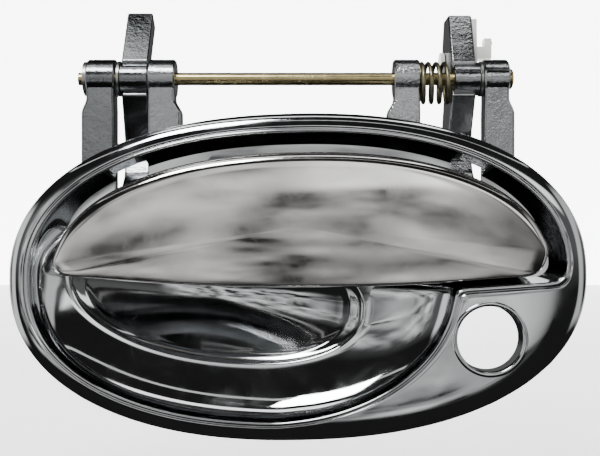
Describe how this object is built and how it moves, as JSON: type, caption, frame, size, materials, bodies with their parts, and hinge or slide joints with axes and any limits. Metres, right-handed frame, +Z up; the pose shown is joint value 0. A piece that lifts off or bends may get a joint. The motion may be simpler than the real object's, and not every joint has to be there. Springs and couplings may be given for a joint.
{
  "type": "car exterior door handle",
  "caption": "Oval chrome exterior door handle with a pull-up paddle over a finger cup, a lock cylinder hole and rear lever arms on a hinge pin.",
  "frame": {"origin": "middle of the oval bezel on the outer skin of the door (back face of the gasket)", "axes": "+X to the right seen from outside the car, +Y into the door, +Z up"},
  "size_m": [0.2, 0.046, 0.1541],
  "materials": {
    "bezel_chrome": "bright plated",
    "paddle_chrome": "bright plated",
    "lever_chrome": "plated over rough casting",
    "gasket_rubber": "matte",
    "stud_steel": "zinc plated",
    "pin_steel": null,
    "bush_brass": "plain",
    "washer_steel": "plain",
    "spring_steel": "oiled, olive zinc",
    "bumper_rubber": "matte",
    "clip_plastic": "white nylon"
  },
  "bodies": {
    "bezel": {"bezel_housing": "bezel_chrome", "door_gasket": "gasket_rubber", "mounting_stud_left": "stud_steel", "mounting_stud_right": "stud_steel", "hinge_pin": "pin_steel", "pin_retainer": "pin_steel", "return_spring": "spring_steel"},
    "handle": {"handle_skin": "paddle_chrome", "handle_lever": "lever_chrome", "lever_bush_left": "bush_brass", "lever_bush_right": "bush_brass", "thrust_washer_left": "washer_steel", "thrust_washer_right": "washer_steel", "stop_bumper_left": "bumper_rubber", "stop_bumper_right": "bumper_rubber", "rod_clip": "clip_plastic"}
  },
  "joints": [
    {"name": "handle_hinge", "type": "hinge", "parent": "bezel", "child": "handle", "pos_m": [0, 0.016, 0.0713], "axis": [-1, 0, 0], "range_deg": [0, 16], "stiffness_Nm_per_rad": 0.6, "springref_deg": -20.05, "deforming": ["return_spring"]}
  ]
}
